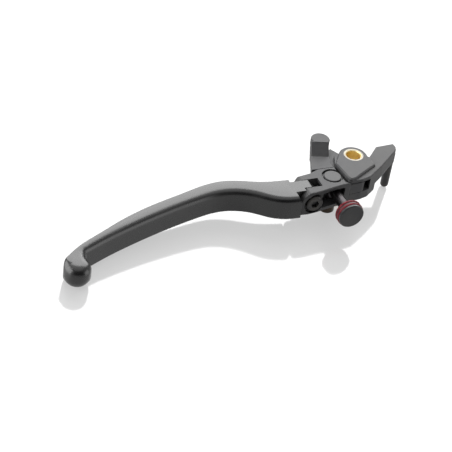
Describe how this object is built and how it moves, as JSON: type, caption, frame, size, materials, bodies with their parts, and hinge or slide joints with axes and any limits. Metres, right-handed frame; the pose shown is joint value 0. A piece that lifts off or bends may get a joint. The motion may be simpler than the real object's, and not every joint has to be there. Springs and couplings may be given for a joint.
{
  "type": "clutch lever",
  "caption": "Folding, reach-adjustable hand lever with a curved ball-ended blade, forked link, pivot hub with bush, front adjuster knob and a short arm with an actuator pin.",
  "frame": {"origin": "on the main pivot axis, at the middle height of the blade and link", "axes": "+Z along the main pivot axis, up; +X towards the short arm with the actuator pin; +Y back towards the handlebar; the blade runs to -X"},
  "size_m": [0.2059, 0.0766, 0.0305],
  "materials": {
    "black_anodised": "satin",
    "bronze": "machined",
    "steel": "turned",
    "black_steel": "oxide",
    "red_rubber": "smooth",
    "polymer": "plain"
  },
  "bodies": {
    "adapter": {"adapter_body": "black_anodised", "pivot_bush": "bronze", "thrust_washer_upper": "polymer", "thrust_washer_lower": "polymer", "abutment_button": "steel", "actuator_pin": "black_steel"},
    "link": {"link_body": "black_anodised", "link_bush": "bronze", "fold_bolt": "black_steel"},
    "barrel": {"adjuster_barrel": "black_anodised", "barrel_washer": "steel", "barrel_lock_nut": "bronze"},
    "knob": {"adjuster_screw": "steel", "adjuster_knob": "black_anodised", "o_ring_front": "red_rubber", "o_ring_rear": "red_rubber", "screw_circlip": "steel"},
    "pusher": {"reach_pusher": "steel"},
    "blade": {"lever_blade": "black_anodised", "tongue_bush": "bronze", "detent_ball_near": "steel", "detent_ball_far": "steel", "detent_spring": "steel"}
  },
  "joints": [
    {"name": "reach_adjust", "type": "hinge", "parent": "adapter", "child": "link", "pos_m": [0, 0, 0], "axis": [0, 0, 1], "range_deg": [0, 4]},
    {"name": "barrel_swivel", "type": "hinge", "parent": "link", "child": "barrel", "pos_m": [-0.0183, -0.0133, 0], "axis": [0, 0, 1], "range_deg": [-4, 0]},
    {"name": "knob_turn", "type": "hinge", "parent": "barrel", "child": "knob", "pos_m": [-0.0183, -0.03, 0.0001], "axis": [0, 1, 0], "range_deg": [-450, 0]},
    {"name": "pusher_travel", "type": "slide", "parent": "barrel", "child": "pusher", "axis": [0, 1, 0], "range_m": [0, 0.0013]},
    {"name": "fold", "type": "hinge", "parent": "link", "child": "blade", "pos_m": [-0.0328, -0.0168, -0.0006], "axis": [0, 1, 0], "range_deg": [0, 58]}
  ],
  "couplings": [
    {"joint": "barrel_swivel", "follows": "reach_adjust", "ratio": -1},
    {"joint": "pusher_travel", "follows": "reach_adjust", "m_per_rad": 0.0178},
    {"joint": "knob_turn", "follows": "reach_adjust", "ratio": -111.84}
  ]
}
